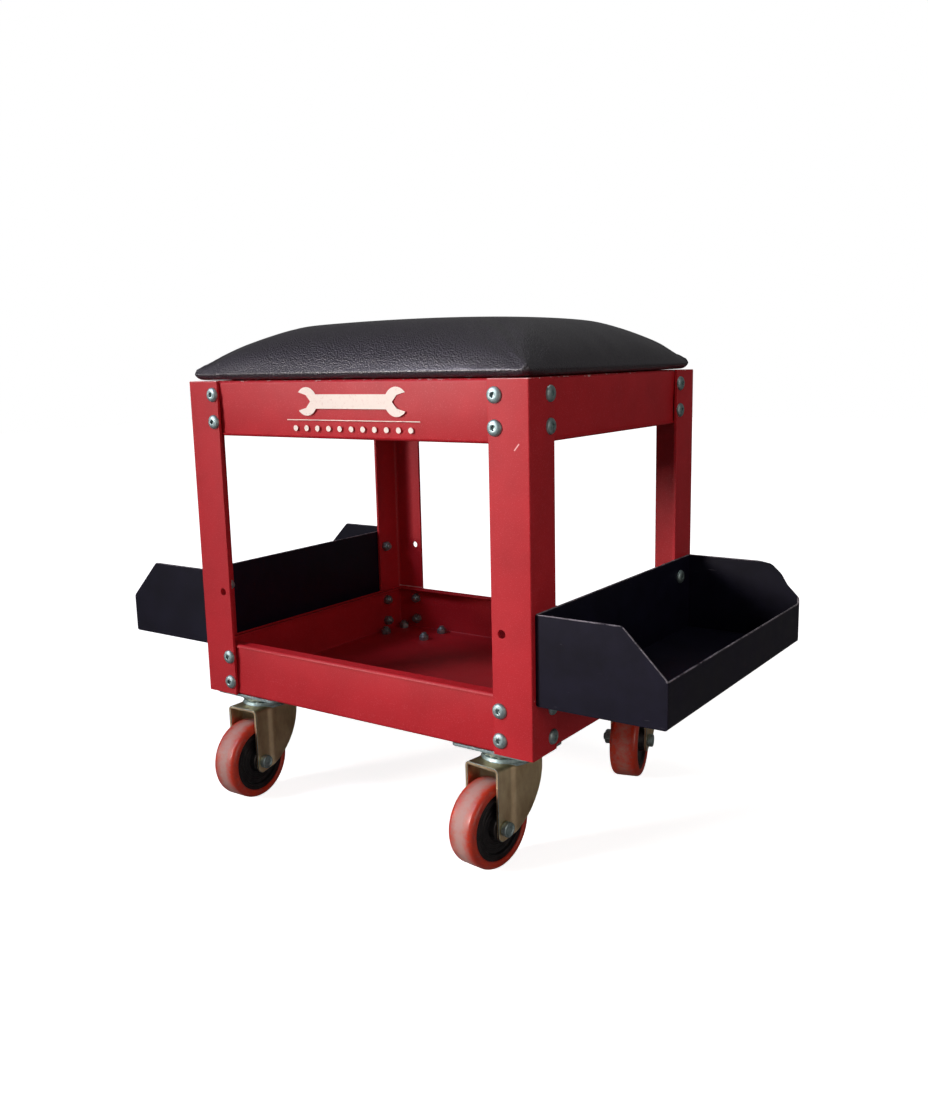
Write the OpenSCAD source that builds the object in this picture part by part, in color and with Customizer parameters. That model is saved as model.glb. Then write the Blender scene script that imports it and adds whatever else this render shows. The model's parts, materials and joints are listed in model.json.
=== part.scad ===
// Rolling mechanic's seat: a bolted steel frame with a tool shelf, two side trays,
// a padded seat and four swivel casters. Millimetres, +Z up, front face towards -Y,
// origin on the floor under the middle of the frame.

/* [Frame] */
// Width of the frame over the legs, along X
frame_w = 381; // [340:1:420]
// Depth of the frame over the legs, along Y
frame_d = 308; // [280:1:340]
// Height of the legs
frame_h = 306; // [260:1:360]
// Flange width of the angle legs
leg_flange = 38; // [32:1:45]
// Thickness of the angle legs
leg_t = 3; // [2:0.5:4]
// Height of the walls of the shelf and of the top frame
pan_h = 51; // [48:1:60]
// Width of the lip folded inwards along the free edge of each wall
pan_lip = 12; // [8:1:15]
// Thickness of the sheet of shelf, top frame and trays
sheet_t = 1.5; // [1:0.1:2]

/* [Side trays] */
// Length of a tray along Y
tray_l = 298; // [240:1:300]
// Depth of a tray out from the legs
tray_w = 114; // [80:1:140]
// Height of the back wall of a tray
tray_back_h = 76; // [70:1:90]
// Height of the front wall of a tray
tray_front_h = 38; // [25:1:45]
// Height of a tray's floor above the bottom of the legs
tray_z = 46; // [36:1:50]

/* [Seat] */
// Height of the crowned part of the cushion
crown_h = 45; // [25:1:60]
// Width of the sloping border of the cushion
crown_slope = 100; // [60:1:120]
// How far the cushion stays inside the frame on each side
seat_inset = 3; // [2:1:10]
// Thickness of the plywood board
board_t = 6; // [5:1:9]
// Thickness of the cover
cover_t = 1.2; // [0.8:0.1:1.6]

/* [Casters] */
// Diameter of the wheels
wheel_d = 75; // [70:1:80]
// Width of the tyre
wheel_w = 28; // [24:1:30]
// Overall height of a caster
caster_h = 103; // [100:1:110]
// Distance of the axle behind the swivel axis
trail = 25; // [20:1:28]
// Distance of the swivel axis from the side of the frame
swivel_in_x = 45.5; // [44:0.5:60]
// Distance of the swivel axis from the front or back of the frame
swivel_in_y = 31.5; // [31:0.5:45]
// Turn of the front left caster, degrees; 0 trails to the front
turn_front_left = 1; // [-20:1:20]
// Turn of the front right caster and of the back left one, which faces the other way
turn_front_right = -8; // [-20:1:20]
// Turn of the back right caster
turn_back_right = 15; // [-20:1:20]

/* [Hidden] */
$fn = 64;
tiny = 0.01;

// Holes and fasteners
bolt_r = 3;
hole_r = 3.25;
head_r = 5.25;
head_h = 3.3;
head_flange_r = 6.8;
head_flange_h = 1;
dome_r = 5.9;
socket_af = 4;
socket_h = 2;
nut_af = 10;
nut_h = 5;
nut_collar_r = 4.4;
nut_collar_h = 1.6;
bolt_tail = 2;
fit_gap = 0.02;
pan_bolt_gauge = 31.5;
pan_bolt_low = 12.7;
pan_bolt_high = 38.1;
spare_hole_r = 3.5;
spare_gauge = 28.5;
spare_z = 103;

// Shelf and top frame, both inside the legs
pan_w = frame_w - 2 * leg_t;
pan_d = frame_d - 2 * leg_t;
frame_top = caster_h + frame_h;
pan_levels = [pan_bolt_low, pan_bolt_high, frame_h - pan_bolt_low, frame_h - pan_bolt_high];

// Trays
tray_chamfer = tray_back_h - tray_front_h;

// Seat
seat_a = frame_w / 2 - seat_inset;
seat_b = frame_d / 2 - seat_inset;
seat_gap = 2.5;
seat_edge_r = 4;
wrap_w = 34;
board_in = 4;
corner_r0 = 12;
corner_grow = 0.38;
corner_steps = 8;
crown_steps = 9;
edge_steps = 3;
seat_z = frame_top + seat_gap;
board_z = seat_z + cover_t;
lip_z = seat_z + seat_edge_r;
screw_in = 55;
screw_r = 2;
screw_head_r = 4.5;
screw_head_h = 2.6;
screw_head_chamfer = 1;
screw_bite = 5;
washer_r = 8;
staple_l = 10;
staple_w = 1.2;
staple_h = 0.8;
staple_in = 22;
staple_n_long = 7;
staple_n_short = 5;

// Casters, with z counted down from the underside of the shelf
plate_w = 80;
plate_d = 56;
plate_t = 2.5;
plate_bolt_x = 57;
plate_bolt_y = 35;
race_r = 23.5;
race_in_r = 13;
race_low = 7.8;
race_taper = 1;
ball_r = 2.5;
ball_ring_r = 18.5;
ball_z = 8.2;
ball_n = 16;
groove_gap = 0.05;
lower_race_r = 21.5;
lower_race_top = 8.6;
fork_top = 12;
fork_t = 2.5;
fork_in = 16;
fork_flare = 1.5;
fork_front = 33;
fork_rear = 23;
fork_strip = 18;
fork_bend = 7;
fork_arc_r = 59.5;
fork_arc_y = 36;
fork_arc_z = 18;
fork_deep = 77;
kingpin_r = 5;
kingpin_head_r = 9;
kingpin_head_h = 1.2;
kingpin_tail_r = 8;
kingpin_tail_taper = 2;
kingpin_tail_h = 3;
run_gap = 0.05;
axle_z_down = caster_h - wheel_d / 2;
axle_r = 4;
axle_head_r = 6.3;
axle_head_h = 5.5;
axle_head_taper = 0.5;
axle_nut_af = 13;
axle_nut_h = 6.5;
sleeve_r = 5.5;
bush_r = 7.5;
hub_r = 29.8;
hub_half = 13.2;
hub_play = 0.3;
boss_r = 11;
dish_in_r = 12.5;
dish_out_r = 23.5;
dish_depth = 3;
step_r = 26;
step_depth = 0.8;
tyre_edge_r = 5;

// Corners of the frame: name, side in X, side in Y
CORNERS = [
  ["front_left", -1, -1],
  ["front_right", 1, -1],
  ["back_left", -1, 1],
  ["back_right", 1, 1]
];
// Turn of the caster under each corner; the back left one faces the other way
TURNS = [turn_front_left, turn_front_right, turn_front_right + 180, turn_back_right];
SIDES = [["left", -1], ["right", 1]];
CASTER_PIECES = [
  "caster_plate", "ball_ring", "fork", "axle_bolt", "axle_nut", "axle_sleeve",
  "bush", "hub", "tyre"
];

// ---------- places ----------

// Moves its children from a corner-based frame, with x and y pointing inwards from the
// outer edge of the leg and z up from the bottom of the leg, to each given corner
module at_corner(c) {
  translate([c[1] * frame_w / 2, c[2] * frame_d / 2, caster_h])
    mirror([c[1] > 0 ? 1 : 0, 0, 0])
      mirror([0, c[2] > 0 ? 1 : 0, 0])
        children();
}

// Swaps x and y, so that what stands on the front flange stands on the side flange
module on_side_flange() {
  mirror([1, -1, 0]) children();
}

// Swivel axis of the caster at a corner, turned with its fork; z = 0 is the shelf's underside
module at_caster(i) {
  c = CORNERS[i];
  translate([c[1] * (frame_w / 2 - swivel_in_x), c[2] * (frame_d / 2 - swivel_in_y), caster_h])
    rotate([0, 0, TURNS[i]])
      children();
}

// The same place, not turned
module at_plate(c) {
  translate([c[1] * (frame_w / 2 - swivel_in_x), c[2] * (frame_d / 2 - swivel_in_y), caster_h])
    children();
}

// The four corners of a rectangle
module at_rectangle(w, d) {
  for (x = [-1, 1], y = [-1, 1]) translate([x * w / 2, y * d / 2, 0]) children();
}

// Along the axle, with z along +X and the origin in the middle of the wheel
module on_axle() {
  translate([0, -trail, -axle_z_down]) rotate([0, 90, 0]) children();
}

// ---------- fasteners, each along +Z with the head's bearing face at z = 0 ----------

// Button head screw with a flange and a hexagon socket; the shank points to -Z
module button_bolt(length) {
  difference() {
    union() {
      intersection() {
        cylinder(r = head_r, h = head_h);
        translate([0, 0, head_h - dome_r]) sphere(r = dome_r);
      }
      cylinder(r = head_flange_r, h = head_flange_h);
      translate([0, 0, -length]) cylinder(r = bolt_r, h = length + tiny);
    }
    translate([0, 0, head_h - socket_h])
      cylinder(d = socket_af / cos(30), h = socket_h + 1, $fn = 6);
  }
}

// Lock nut: a hexagon with a round collar, standing up from z = 0
module lock_nut() {
  difference() {
    union() {
      cylinder(d = nut_af / cos(30), h = nut_h, $fn = 6);
      cylinder(r = nut_collar_r, h = nut_h + nut_collar_h);
    }
    translate([0, 0, -1]) cylinder(r = bolt_r + fit_gap, h = nut_h + nut_collar_h + 2);
  }
}

// Bolts through the front flange of a leg at the given heights; the head is outside
module flange_bolts(levels, gauge, grip) {
  for (z = levels)
    translate([gauge, 0, z]) rotate([90, 0, 0]) button_bolt(grip + nut_h + nut_collar_h + bolt_tail);
}

// Nuts on the inner face, at depth grip behind the outer face of the flange
module flange_nuts(levels, gauge, grip) {
  for (z = levels)
    translate([gauge, grip, z]) rotate([-90, 0, 0]) lock_nut();
}

// Holes through a front flange or through a wall behind it
module flange_holes(levels, gauge, r, depth) {
  for (z = levels)
    translate([gauge, -1, z]) rotate([-90, 0, 0]) cylinder(r = r, h = depth + 1);
}

// ---------- frame ----------

// Angle leg with its outer edge on the z axis
module leg() {
  color("firebrick")
    difference() {
      cube([leg_flange, leg_flange, frame_h]);
      translate([leg_t, leg_t, -1]) cube([leg_flange, leg_flange, frame_h + 2]);
      flange_holes(pan_levels, pan_bolt_gauge, hole_r, leg_t + 1);
      on_side_flange() flange_holes(pan_levels, pan_bolt_gauge, hole_r, leg_t + 1);
      flange_holes([spare_z], spare_gauge, spare_hole_r, leg_t + 1);
      on_side_flange() flange_holes([spare_z], spare_gauge, hole_r, leg_t + 1);
    }
}

// Shallow pan with lips folded in, open side up, outer bottom face at z = 0
module pan() {
  wall_in_w = pan_w - 2 * sheet_t;
  wall_in_d = pan_d - 2 * sheet_t;
  translate([-pan_w / 2, -pan_d / 2, 0])
    difference() {
      cube([pan_w, pan_d, pan_h]);
      translate([sheet_t, sheet_t, sheet_t]) cube([wall_in_w, wall_in_d, pan_h - 2 * sheet_t]);
      translate([pan_lip, pan_lip, sheet_t])
        cube([pan_w - 2 * pan_lip, pan_d - 2 * pan_lip, pan_h]);
    }
}

// Holes through the walls of a pan in the frame, at the given heights above the legs' bottom
module wall_holes(levels) {
  for (c = CORNERS)
    at_corner(c) {
      flange_holes(levels, pan_bolt_gauge, hole_r, leg_t + sheet_t + 1);
      on_side_flange() flange_holes(levels, pan_bolt_gauge, hole_r, leg_t + sheet_t + 1);
    }
}

module shelf_pan() {
  color("brown")
    difference() {
      translate([0, 0, caster_h]) pan();
      wall_holes([pan_bolt_low, pan_bolt_high]);
      for (c = CORNERS)
        at_plate(c)
          at_rectangle(plate_bolt_x, plate_bolt_y)
            translate([0, 0, -1]) cylinder(r = hole_r, h = sheet_t + 2);
    }
}

module top_frame() {
  color("firebrick")
    difference() {
      translate([0, 0, frame_top]) mirror([0, 0, 1]) pan();
      wall_holes([frame_h - pan_bolt_low, frame_h - pan_bolt_high]);
      at_rectangle(frame_w - 2 * screw_in, frame_d - 2 * screw_in)
        translate([0, 0, frame_top - sheet_t - 1]) cylinder(r = screw_r + fit_gap, h = sheet_t + 2);
    }
}

// Bolts and nuts of a pan, two on each flange of each leg
module pan_bolts(levels) {
  color("silver")
    for (c = CORNERS)
      at_corner(c) {
        flange_bolts(levels, pan_bolt_gauge, leg_t + sheet_t);
        on_side_flange() flange_bolts(levels, pan_bolt_gauge, leg_t + sheet_t);
      }
}

module pan_nuts(levels) {
  color("gainsboro")
    for (c = CORNERS)
      at_corner(c) {
        flange_nuts(levels, pan_bolt_gauge, leg_t + sheet_t);
        on_side_flange() flange_nuts(levels, pan_bolt_gauge, leg_t + sheet_t);
      }
}

// ---------- side trays ----------

// Outline of an end plate, x out from the legs, y up, with a sloping corner
function tray_end() = [
  [0, 0], [tray_w, 0], [tray_w, tray_front_h],
  [tray_w - tray_chamfer, tray_back_h], [0, tray_back_h]
];

// Tray on the right side, its back wall against the legs
module tray() {
  color([0.1, 0.1, 0.12])
    difference() {
      translate([frame_w / 2, tray_l / 2, caster_h + tray_z])
        rotate([90, 0, 0]) linear_extrude(tray_l) polygon(tray_end());
      translate([frame_w / 2 + sheet_t, -tray_l / 2 + sheet_t, caster_h + tray_z + sheet_t])
        cube([tray_w - 2 * sheet_t, tray_l - 2 * sheet_t, tray_back_h]);
      translate([frame_w / 2 + sheet_t, -tray_l / 2 + sheet_t, caster_h + tray_z + tray_front_h])
        cube([tray_w, tray_l - 2 * sheet_t, tray_back_h]);
      for (y = [-1, 1])
        translate([frame_w / 2 - 1, y * (frame_d / 2 - spare_gauge), caster_h + spare_z])
          rotate([0, 90, 0]) cylinder(r = hole_r, h = sheet_t + 2);
    }
}

// Tray bolts have their heads inside the trays and their nuts inside the legs
module tray_bolts() {
  color("silver")
    for (c = CORNERS)
      at_corner(c)
        on_side_flange()
          translate([0, -sheet_t, 0]) flange_bolts([spare_z], spare_gauge, sheet_t + leg_t);
}

module tray_nuts() {
  color("gainsboro")
    for (c = CORNERS)
      at_corner(c) on_side_flange() flange_nuts([spare_z], spare_gauge, leg_t);
}

// ---------- seat ----------

// Rectangle with round corners, inset from the seat's outline; the corner radius grows with
// the inset
function ring(inset) =
  let (r = corner_r0 + corner_grow * inset, a = seat_a - inset - r, b = seat_b - inset - r)
  [
    for (q = [0:3], i = [0:corner_steps])
      let (t = 90 * q + 90 * i / corner_steps, sx = (q == 0 || q == 3) ? 1 : -1, sy = q < 2 ? 1 : -1)
      [sx * a + r * cos(t), sy * b + r * sin(t)]
  ];

// Closed solid through a stack of rings given as [inset, z], flat at both ends
module ring_stack(levels) {
  n = 4 * (corner_steps + 1);
  m = len(levels);
  points = [for (l = levels) for (p = ring(l[0])) [p[0], p[1], l[1]]];
  sides = [
    for (k = [0:m - 2], i = [0:n - 1])
      let (j = (i + 1) % n)
      each [[k * n + i, k * n + j, (k + 1) * n + j], [k * n + i, (k + 1) * n + j, (k + 1) * n + i]]
  ];
  bottom = [for (i = [n - 1:-1:0]) i];
  top = [for (i = [0:n - 1]) (m - 1) * n + i];
  polyhedron(points, concat([bottom], sides, [top]));
}

// Quarter-ellipse border from the plateau, at skin t inside the outer surface, down to the lip
function crown(t) = [
  for (i = [0:crown_steps])
    let (u = 90 - 90 * i / crown_steps)
    [t + (crown_slope - t) * (1 - cos(u)), lip_z + (crown_h - t) * sin(u)]
];

// Round lower edge of the cushion, at skin t
function lower_edge(t) = [
  for (i = [1:edge_steps])
    let (u = 90 * i / edge_steps)
    [seat_edge_r - (seat_edge_r - t) * cos(u), lip_z - (seat_edge_r - t) * sin(u)]
];

module seat_board() {
  color("burlywood")
    difference() {
      translate([0, 0, board_z]) linear_extrude(board_t) polygon(ring(board_in));
      at_rectangle(frame_w - 2 * screw_in, frame_d - 2 * screw_in)
        translate([0, 0, board_z - 1]) cylinder(r = screw_r, h = screw_bite + 1);
    }
}

// Foam over the top and round the edges of the board
module seat_foam() {
  color("khaki")
    ring_stack(reverse(concat(crown(cover_t), lower_edge(cover_t), [[board_in, board_z + board_t]])));
}

// Cover drawn over the foam and folded under the board
module seat_cover() {
  outer = concat(crown(0), lower_edge(0), [[wrap_w, seat_z]]);
  inner = concat(crown(cover_t), lower_edge(cover_t), [[wrap_w, board_z]]);
  color([0.12, 0.11, 0.12]) ring_stack(reverse(concat(outer, reverse(inner))));
}

function reverse(list) = [for (i = [len(list) - 1:-1:0]) list[i]];

// Wood screws from below through the top frame and the washers into the board
module seat_screws() {
  under = frame_top - sheet_t;
  color("silver")
    at_rectangle(frame_w - 2 * screw_in, frame_d - 2 * screw_in) {
      translate([0, 0, under - screw_head_h])
        cylinder(r1 = screw_head_r - screw_head_chamfer, r2 = screw_head_r, h = screw_head_h);
      translate([0, 0, under - tiny]) cylinder(r = screw_r, h = board_z + screw_bite - under);
    }
}

module seat_washers() {
  color("dimgray")
    at_rectangle(frame_w - 2 * screw_in, frame_d - 2 * screw_in)
      translate([0, 0, frame_top])
        difference() {
          cylinder(r = washer_r, h = board_z - frame_top);
          translate([0, 0, -1]) cylinder(r = screw_r + fit_gap, h = board_z - frame_top + 2);
        }
}

// Staples through the folded edge of the cover, along all four sides
module cover_staples() {
  z = seat_z - staple_h / 2;
  color("silver")
    for (s = [-1, 1]) {
      for (i = [1:staple_n_long])
        translate([2 * seat_a * (i / (staple_n_long + 1) - 0.5), s * (seat_b - staple_in), z])
          cube([staple_l, staple_w, staple_h], center = true);
      for (i = [1:staple_n_short])
        translate([s * (seat_a - staple_in), 2 * seat_b * (i / (staple_n_short + 1) - 0.5), z])
          cube([staple_w, staple_l, staple_h], center = true);
    }
}

// ---------- casters, with the swivel axis on z and z = 0 at the shelf's underside ----------

// Groove for the balls, to be cut from both races
module ball_groove() {
  rotate_extrude() translate([ball_ring_r, -ball_z]) circle(r = ball_r + groove_gap);
}

// Mounting plate with the upper race, fixed to the shelf
module caster_plate() {
  color("lightgray")
    difference() {
      union() {
        translate([-plate_w / 2, -plate_d / 2, -plate_t]) cube([plate_w, plate_d, plate_t]);
        translate([0, 0, -race_low])
          cylinder(r1 = race_r - race_taper, r2 = race_r, h = race_low - plate_t + tiny);
      }
      translate([0, 0, -race_low - 1]) cylinder(r = race_in_r, h = race_low + 1 - plate_t);
      translate([0, 0, -kingpin_head_h]) cylinder(r = kingpin_head_r, h = kingpin_head_h + 1);
      translate([0, 0, -plate_t - 1]) cylinder(r = kingpin_r, h = plate_t + 2);
      ball_groove();
      at_rectangle(plate_bolt_x, plate_bolt_y)
        translate([0, 0, -plate_t - 1]) cylinder(r = hole_r, h = plate_t + 2);
    }
}

// Rivet on the swivel axis, fixed to the plate; the fork turns round it
module kingpin() {
  tail_z = fork_top + fork_t + run_gap;
  color("silver") {
    translate([0, 0, -kingpin_head_h]) cylinder(r = kingpin_head_r, h = kingpin_head_h);
    translate([0, 0, -tail_z - tiny]) cylinder(r = kingpin_r, h = tail_z);
    translate([0, 0, -tail_z - kingpin_tail_h])
      cylinder(r1 = kingpin_tail_r - kingpin_tail_taper, r2 = kingpin_tail_r, h = kingpin_tail_h);
  }
}

module ball_ring() {
  color("white")
    for (i = [0:ball_n - 1])
      rotate([0, 0, 360 * i / ball_n]) translate([ball_ring_r, 0, -ball_z]) sphere(r = ball_r);
}

// Plan outline of one side wall of the fork: a straight front strip that carries the axle,
// then a shallow flare towards the back
function fork_wall() = [
  [fork_in, -fork_front], [fork_in + fork_t, -fork_front],
  [fork_in + fork_t, -fork_strip], [fork_in + fork_t + fork_flare, -fork_strip + fork_bend],
  [fork_in + fork_t + fork_flare, fork_rear], [fork_in + fork_flare, fork_rear],
  [fork_in + fork_flare, -fork_strip + fork_bend], [fork_in, -fork_strip]
];

// Fork of bent sheet with the lower race on top
module fork() {
  half = fork_in + fork_t + fork_flare;
  color([0.62, 0.57, 0.42])
    difference() {
      union() {
        intersection() {
          union() {
            for (s = [0, 1])
              mirror([s, 0, 0])
                translate([0, 0, -fork_deep]) linear_extrude(fork_deep - fork_top) polygon(fork_wall());
            translate([0, 0, -fork_top - fork_t])
              linear_extrude(fork_t)
                polygon([
                  [-half, fork_rear], [-half, -fork_strip + fork_bend],
                  [-half + fork_flare, -fork_strip], [-half + fork_flare, -fork_front],
                  [half - fork_flare, -fork_front], [half - fork_flare, -fork_strip],
                  [half, -fork_strip + fork_bend], [half, fork_rear]
                ]);
          }
          translate([-half, -fork_arc_y, -fork_arc_z])
            rotate([0, 90, 0]) cylinder(r = fork_arc_r, h = 2 * half);
        }
        translate([0, 0, -fork_top - tiny])
          cylinder(r1 = lower_race_r, r2 = lower_race_r - race_taper,
                   h = fork_top - lower_race_top + tiny);
      }
      translate([0, 0, -fork_top]) cylinder(r = race_in_r, h = fork_top);
      translate([0, 0, -fork_top - fork_t - 1]) cylinder(r = kingpin_r + run_gap, h = fork_t + 2);
      ball_groove();
      on_axle() translate([0, 0, -half - 1]) cylinder(r = axle_r + fit_gap, h = 2 * half + 2);
    }
}

// Axle bolt along X, its round head on the +X side
module axle_bolt() {
  out = fork_in + fork_t;
  color("silver")
    on_axle() {
      translate([0, 0, out])
        cylinder(r1 = axle_head_r, r2 = axle_head_r - axle_head_taper, h = axle_head_h);
      translate([0, 0, -out - axle_nut_h - bolt_tail])
        cylinder(r = axle_r, h = 2 * out + axle_nut_h + bolt_tail + tiny);
    }
}

module axle_nut() {
  color("gainsboro")
    on_axle()
      translate([0, 0, -fork_in - fork_t - axle_nut_h])
        difference() {
          cylinder(d = axle_nut_af / cos(30), h = axle_nut_h, $fn = 6);
          translate([0, 0, -1]) cylinder(r = axle_r + fit_gap, h = axle_nut_h + 2);
        }
}

// Steel tube on the axle bolt, clamped between the fork's walls; the bush turns on it
module axle_sleeve() {
  color("silver")
    on_axle()
      translate([0, 0, -fork_in])
        difference() {
          cylinder(r = sleeve_r, h = 2 * fork_in);
          translate([0, 0, -1]) cylinder(r = axle_r + fit_gap, h = 2 * fork_in + 2);
        }
}

// Plain bush pressed into the hub
module bush() {
  color("goldenrod")
    on_axle()
      translate([0, 0, -fork_in + hub_play])
        difference() {
          cylinder(r = bush_r, h = 2 * (fork_in - hub_play));
          translate([0, 0, -1]) cylinder(r = sleeve_r + run_gap, h = 2 * fork_in + 2);
        }
}

// Moulded hub: boss, dished web and stepped rim
module hub() {
  boss = fork_in - hub_play;
  half = [
    [bush_r, boss], [boss_r, boss], [boss_r, hub_half - dish_depth], [dish_in_r, hub_half - dish_depth],
    [dish_out_r, hub_half - dish_depth], [dish_out_r, hub_half - step_depth],
    [step_r, hub_half - step_depth], [step_r, hub_half], [hub_r, hub_half]
  ];
  color([0.07, 0.07, 0.08])
    on_axle()
      rotate_extrude()
        polygon(concat(half, [for (i = [len(half) - 1:-1:0]) [half[i][0], -half[i][1]]]));
}

// Cast polyurethane tyre with rounded edges
module tyre() {
  color("orangered")
    on_axle()
      rotate_extrude()
        difference() {
          translate([hub_r, -wheel_w / 2]) square([wheel_d / 2 - hub_r, wheel_w]);
          for (s = [-1, 1])
            translate([wheel_d / 2 - tyre_edge_r, s * (wheel_w / 2 - tyre_edge_r)])
              tyre_edge_cut(s);
        }
}

// What is cut away outside the round edge, towards +x and +y or -y
module tyre_edge_cut(s) {
  difference() {
    translate([0, s > 0 ? 0 : -tyre_edge_r - 1]) square([tyre_edge_r + 1, tyre_edge_r + 1]);
    circle(r = tyre_edge_r);
  }
}

// Bolts from below through the caster plates and the shelf floor
module caster_bolts() {
  color("silver")
    for (c = CORNERS)
      at_plate(c)
        at_rectangle(plate_bolt_x, plate_bolt_y)
          translate([0, 0, -plate_t])
            mirror([0, 0, 1]) button_bolt(plate_t + sheet_t + nut_h + nut_collar_h + bolt_tail);
}

module caster_nuts() {
  color("gainsboro")
    for (c = CORNERS)
      at_plate(c)
        at_rectangle(plate_bolt_x, plate_bolt_y) translate([0, 0, sheet_t]) lock_nut();
}

module kingpins() {
  for (c = CORNERS) at_plate(c) kingpin();
}

// ---------- the model ----------

for (c = CORNERS) {
  at_corner(c) leg();
}
top_frame();
shelf_pan();
rotate([0, 0, 180]) tray();  // tray_left
tray();  // tray_right
pan_bolts([frame_h - pan_bolt_low, frame_h - pan_bolt_high]);  // top_bolts
pan_nuts([frame_h - pan_bolt_low, frame_h - pan_bolt_high]);  // top_nuts
pan_bolts([pan_bolt_low, pan_bolt_high]);  // shelf_bolts
pan_nuts([pan_bolt_low, pan_bolt_high]);  // shelf_nuts
tray_bolts();
tray_nuts();
caster_bolts();
caster_nuts();
kingpins();
seat_board();
seat_foam();
seat_cover();
seat_screws();
seat_washers();
cover_staples();
for (i = [0:len(CORNERS) - 1]) {
  name = CORNERS[i][0];
  at_plate(CORNERS[i]) caster_plate();
  at_caster(i) ball_ring();
  at_caster(i) fork();
  at_caster(i) axle_bolt();
  at_caster(i) axle_nut();
  at_caster(i) axle_sleeve();
  at_caster(i) bush();
  at_caster(i) hub();
  at_caster(i) tyre();
}
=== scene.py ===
# %% [markdown]
# # A mechanic's rolling seat
# A frame of four steel angles carries a padded seat, a shelf and two hanging trays, and rolls on
# four casters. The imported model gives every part's place. This script keeps the places and makes
# each part again with the bends, edges, heads and finishes of the real one.

import json

import bmesh
import bpy
import numpy as np
from mathutils import Matrix, Vector


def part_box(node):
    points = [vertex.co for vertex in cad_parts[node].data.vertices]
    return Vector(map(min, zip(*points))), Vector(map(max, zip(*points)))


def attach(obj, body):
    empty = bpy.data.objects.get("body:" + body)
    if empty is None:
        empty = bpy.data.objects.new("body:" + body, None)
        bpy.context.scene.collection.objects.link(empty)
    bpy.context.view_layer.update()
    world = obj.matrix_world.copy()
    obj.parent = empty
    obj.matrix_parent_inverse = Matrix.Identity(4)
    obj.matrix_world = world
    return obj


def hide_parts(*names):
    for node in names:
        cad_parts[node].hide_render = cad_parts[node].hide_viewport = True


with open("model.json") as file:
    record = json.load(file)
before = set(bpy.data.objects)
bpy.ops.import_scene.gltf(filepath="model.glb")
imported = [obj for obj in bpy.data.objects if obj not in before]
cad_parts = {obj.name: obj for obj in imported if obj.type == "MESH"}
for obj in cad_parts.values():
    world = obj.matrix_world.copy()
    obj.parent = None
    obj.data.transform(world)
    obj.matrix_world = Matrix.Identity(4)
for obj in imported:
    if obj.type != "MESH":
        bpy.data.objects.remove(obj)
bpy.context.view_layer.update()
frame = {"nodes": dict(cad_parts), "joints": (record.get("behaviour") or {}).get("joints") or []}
MM = 0.001
CORNERS = {
    "front_left": (-1, -1),
    "front_right": (1, -1),
    "back_left": (-1, 1),
    "back_right": (1, 1),
}

# %% [markdown]
# ## Camera
# The seat is seen from a little above the seat cushion, with the front rail running away to the
# left. The camera looks 35 degrees round from the front, tips 11 degrees down and leans by 1.3.


# %% camera
camera = bpy.data.objects.new("camera", bpy.data.cameras.new("camera"))
bpy.context.scene.collection.objects.link(camera)
camera.data.sensor_width = 36
camera.data.lens = 34.345
turned = Matrix.Rotation(np.radians(35.37), 4, "Z")
tipped = Matrix.Rotation(np.radians(90 - 10.66), 4, "X")
leaning = Matrix.Rotation(np.radians(-1.34), 4, "Z")
camera.matrix_world = Matrix.Translation((0.62027, -0.84901, 0.42423)) @ turned @ tipped @ leaning
bpy.context.scene.camera = camera
print("camera at", tuple(camera.location))

# %% [markdown]
# ## Floor and light
# A pale floor and a pale world stand for a studio sweep. One low lamp at the front left lights
# the front of the frame and leaves the right side and the inside of the shelf in shade. Its grid
# turns the edge of the beam to the left, so the left end is dimmer. A small one above it draws the
# bright band on the border of the cushion, one overhead draws the sheen on its near corner, and a
# weak one opens the shade. The backdrop looks white but gives little light of its own, so that
# black paint stays deep. The Standard view keeps white white.


# %% floor, lamps and world
def lin(code):
    """sRGB hex code to linear RGBA: a part under 0.04045 is divided, the rest follow the power."""
    part = np.array([int(code[i : i + 2], 16) for i in (1, 3, 5)]) / 255
    part = np.where(part <= 0.04045, part / 12.92, ((part + 0.055) / 1.055) ** 2.4)
    return (*part.tolist(), 1.0)


def lamp(name, place, aim, size, power, colour="#FFFFFF", spread=180):
    """Square area lamp at place that shines towards aim; a grid narrows its spread in degrees."""
    light = bpy.data.lights.new(name, "AREA")
    light.spread = np.radians(spread)
    light.size, light.energy, light.color = size, power, lin(colour)[:3]
    holder = bpy.data.objects.new(name, light)
    holder.location = place
    holder.rotation_euler = (Vector(aim) - Vector(place)).to_track_quat("-Z", "Y").to_euler()
    bpy.context.scene.collection.objects.link(holder)


lamp("key", (-1.7, -2.75, 1.15), (0.93, -0.1, 0.24), 0.9, 9.1, "#FFF8F4", spread=43)
lamp("brow", (-1.0, -1.4, 1.75), (0, -0.1, 0.42), 0.5, 15, "#E9E6FF")
lamp("fill", (2.6, -1.1, 0.9), (0, 0, 0.2), 1.4, 15, "#FFECE2")
lamp("top", (0.15, 0.1, 2.0), (0.1, 0, 0.4), 0.5, 4, "#FFFFFF")
world = bpy.data.worlds.new("studio")
world.use_nodes = True
tree = world.node_tree
seen = tree.nodes.new("ShaderNodeLightPath").outputs["Is Camera Ray"]
strength = tree.nodes.new("ShaderNodeMapRange")
strength.inputs["To Min"].default_value, strength.inputs["To Max"].default_value = 0.12, 1.0
tree.links.new(seen, strength.inputs["Value"])
tree.links.new(strength.outputs[0], tree.nodes["Background"].inputs["Strength"])
tree.nodes["Background"].inputs["Color"].default_value = lin("#FFFFFF")
bpy.context.scene.world = world
bpy.context.scene.view_settings.view_transform = "Standard"

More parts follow.
